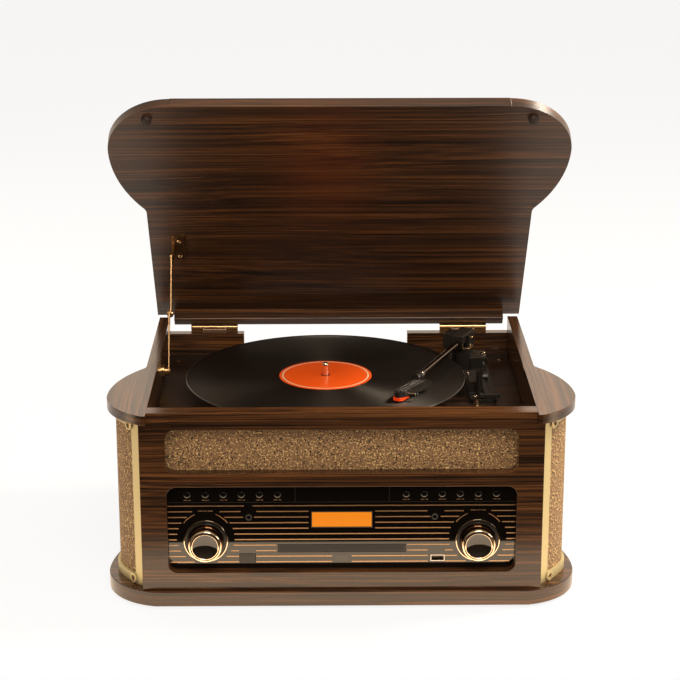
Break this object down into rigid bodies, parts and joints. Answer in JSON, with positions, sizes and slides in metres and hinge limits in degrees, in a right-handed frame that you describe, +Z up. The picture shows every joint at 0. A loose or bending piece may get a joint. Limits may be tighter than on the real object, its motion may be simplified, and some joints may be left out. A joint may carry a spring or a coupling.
{
  "type": "record player",
  "caption": "Table-top wooden record player with hinged lid, rounded speaker ends, radio controls, disc tray and tonearm.",
  "frame": {"origin": "middle of the footprint of the player with its lid open, on the surface it stands on", "axes": "+X to the user's right, +Y to the back, +Z up"},
  "size_m": [0.4882, 0.3718, 0.4981],
  "materials": {
    "dark_wood": "satin printed walnut",
    "rubber_feet": "matt",
    "speaker_cloth": "coarse gold and brown weave",
    "gloss_black": "polished",
    "amber_window": "lit amber",
    "circuit_board": "satin",
    "bright_steel": "bright",
    "gold_frame": "pale gold, satin",
    "driver_black": "matt",
    "brass_fittings": "polished",
    "tonearm_black": "satin",
    "bumper_brown": "matt",
    "platter_black": "satin",
    "record_black": "finely grooved",
    "record_label": "matt",
    "arm_metal": "polished",
    "stylus_orange": "polished",
    "knob_chrome": "bronze chrome"
  },
  "bodies": {
    "root": {"plinth": "dark_wood", "feet": "rubber_feet", "front_panel": "dark_wood", "left_wall": "dark_wood", "right_wall": "dark_wood", "left_top_board": "dark_wood", "right_top_board": "dark_wood", "back_panel": "dark_wood", "deck_board": "dark_wood", "grille_cloth": "speaker_cloth", "control_plate": "gloss_black", "display_window": "amber_window", "control_board": "circuit_board", "power_board": "circuit_board", "usb_socket": "bright_steel", "disc_mechanism": "bright_steel", "left_speaker_frame": "gold_frame", "right_speaker_frame": "gold_frame", "left_speaker_cloth": "speaker_cloth", "right_speaker_cloth": "speaker_cloth", "left_driver": "driver_black", "right_driver": "driver_black", "screws": "brass_fittings", "motor": "bright_steel", "drive_belt": "rubber_feet", "spindle": "bright_steel", "tonearm_base": "tonearm_black", "cabinet_hinges": "brass_fittings"},
    "lid": {"lid_board": "dark_wood", "lid_rail": "dark_wood", "lid_bumpers": "bumper_brown", "lid_hinges": "brass_fittings"},
    "stay_lower": {"stay_lower_link": "brass_fittings"},
    "stay_upper": {"stay_upper_link": "brass_fittings"},
    "turntable": {"platter": "platter_black", "record": "record_black", "record_label": "record_label"},
    "pulley": {"motor_pulley": "brass_fittings"},
    "turret": {"gimbal": "tonearm_black"},
    "arm": {"arm_tube": "arm_metal", "headshell": "tonearm_black", "stylus": "stylus_orange"},
    "lift_lever": {"cue_lever": "tonearm_black"},
    "speed": {"speed_switch": "bright_steel"},
    "volume": {"volume_knob": "knob_chrome"},
    "tuning": {"tuning_knob": "knob_chrome"},
    "tray": {"disc_tray": "gloss_black"},
    "power": {"power_button": "gloss_black"},
    "key_1": {"button_1": "gloss_black"},
    "key_2": {"button_2": "gloss_black"},
    "key_3": {"button_3": "gloss_black"},
    "key_4": {"button_4": "gloss_black"},
    "key_5": {"button_5": "gloss_black"},
    "key_6": {"button_6": "gloss_black"},
    "key_7": {"button_7": "gloss_black"},
    "key_8": {"button_8": "gloss_black"},
    "key_9": {"button_9": "gloss_black"},
    "key_10": {"button_10": "gloss_black"},
    "key_11": {"button_11": "gloss_black"},
    "key_12": {"button_12": "gloss_black"}
  },
  "joints": [
    {"name": "lid_hinge", "type": "hinge", "parent": "root", "child": "lid", "pos_m": [0, 0.16266, 0.1976], "axis": [-1, 0, 0], "range_deg": [-53.89, 0]},
    {"name": "stay_lower_pivot", "type": "hinge", "parent": "root", "child": "stay_lower", "pos_m": [-0.1888, 0.04466, 0.1825], "axis": [-1, 0, 0], "range_deg": [-104.91, 0]},
    {"name": "stay_upper_pivot", "type": "hinge", "parent": "lid", "child": "stay_upper", "pos_m": [-0.187, 0.10083, 0.29856], "axis": [-1, 0, 0], "range_deg": [0, 107.14]},
    {"name": "platter_spin", "type": "hinge", "parent": "root", "child": "turntable", "pos_m": [-0.0158, -0.00274, 0.1879], "axis": [0, 0, -1], "continuous": true},
    {"name": "pulley_spin", "type": "hinge", "parent": "root", "child": "pulley", "pos_m": [-0.07237, 0.05383, 0.1679], "axis": [0, 0, -1], "continuous": true},
    {"name": "arm_swing", "type": "hinge", "parent": "root", "child": "turret", "pos_m": [0.138, 0.08706, 0.1879], "axis": [0, 0, 1], "range_deg": [-16, 30]},
    {"name": "arm_lift", "type": "hinge", "parent": "turret", "child": "arm", "pos_m": [0.14111, 0.09443, 0.2059], "axis": [-0.9212, 0.3891, 0], "range_deg": [0, 7]},
    {"name": "cue_lever_lift", "type": "hinge", "parent": "root", "child": "lift_lever", "pos_m": [0.1564, 0.02706, 0.1799], "axis": [-1, 0, 0], "range_deg": [0, 12]},
    {"name": "speed_turn", "type": "hinge", "parent": "root", "child": "speed", "pos_m": [0.146, -0.03794, 0.1679], "axis": [0, 0, 1], "range_deg": [-25, 25]},
    {"name": "volume_turn", "type": "hinge", "parent": "root", "child": "volume", "pos_m": [-0.1387, -0.16794, 0.0692], "axis": [0, 1, 0], "range_deg": [-150, 150]},
    {"name": "tuning_turn", "type": "hinge", "parent": "root", "child": "tuning", "pos_m": [0.1387, -0.16794, 0.0692], "axis": [0, 1, 0], "continuous": true},
    {"name": "tray_slide", "type": "slide", "parent": "root", "child": "tray", "axis": [0, -1, 0], "range_m": [0, 0.125]},
    {"name": "power_press", "type": "slide", "parent": "root", "child": "power", "axis": [0, 1, 0], "range_m": [0, 0.002], "stiffness_N_per_m": 300},
    {"name": "key_1_press", "type": "slide", "parent": "root", "child": "key_1", "axis": [0, 1, 0], "range_m": [0, 0.0012], "stiffness_N_per_m": 300},
    {"name": "key_2_press", "type": "slide", "parent": "root", "child": "key_2", "axis": [0, 1, 0], "range_m": [0, 0.0012], "stiffness_N_per_m": 300},
    {"name": "key_3_press", "type": "slide", "parent": "root", "child": "key_3", "axis": [0, 1, 0], "range_m": [0, 0.0012], "stiffness_N_per_m": 300},
    {"name": "key_4_press", "type": "slide", "parent": "root", "child": "key_4", "axis": [0, 1, 0], "range_m": [0, 0.0012], "stiffness_N_per_m": 300},
    {"name": "key_5_press", "type": "slide", "parent": "root", "child": "key_5", "axis": [0, 1, 0], "range_m": [0, 0.0012], "stiffness_N_per_m": 300},
    {"name": "key_6_press", "type": "slide", "parent": "root", "child": "key_6", "axis": [0, 1, 0], "range_m": [0, 0.0012], "stiffness_N_per_m": 300},
    {"name": "key_7_press", "type": "slide", "parent": "root", "child": "key_7", "axis": [0, 1, 0], "range_m": [0, 0.0012], "stiffness_N_per_m": 300},
    {"name": "key_8_press", "type": "slide", "parent": "root", "child": "key_8", "axis": [0, 1, 0], "range_m": [0, 0.0012], "stiffness_N_per_m": 300},
    {"name": "key_9_press", "type": "slide", "parent": "root", "child": "key_9", "axis": [0, 1, 0], "range_m": [0, 0.0012], "stiffness_N_per_m": 300},
    {"name": "key_10_press", "type": "slide", "parent": "root", "child": "key_10", "axis": [0, 1, 0], "range_m": [0, 0.0012], "stiffness_N_per_m": 300},
    {"name": "key_11_press", "type": "slide", "parent": "root", "child": "key_11", "axis": [0, 1, 0], "range_m": [0, 0.0012], "stiffness_N_per_m": 300},
    {"name": "key_12_press", "type": "slide", "parent": "root", "child": "key_12", "axis": [0, 1, 0], "range_m": [0, 0.0012], "stiffness_N_per_m": 300}
  ],
  "couplings": [
    {"joint": "stay_lower_pivot", "follows": "lid_hinge", "ratio": 1.9448},
    {"joint": "stay_upper_pivot", "follows": "lid_hinge", "ratio": -1.9863},
    {"joint": "pulley_spin", "follows": "platter_spin", "ratio": 11}
  ]
}
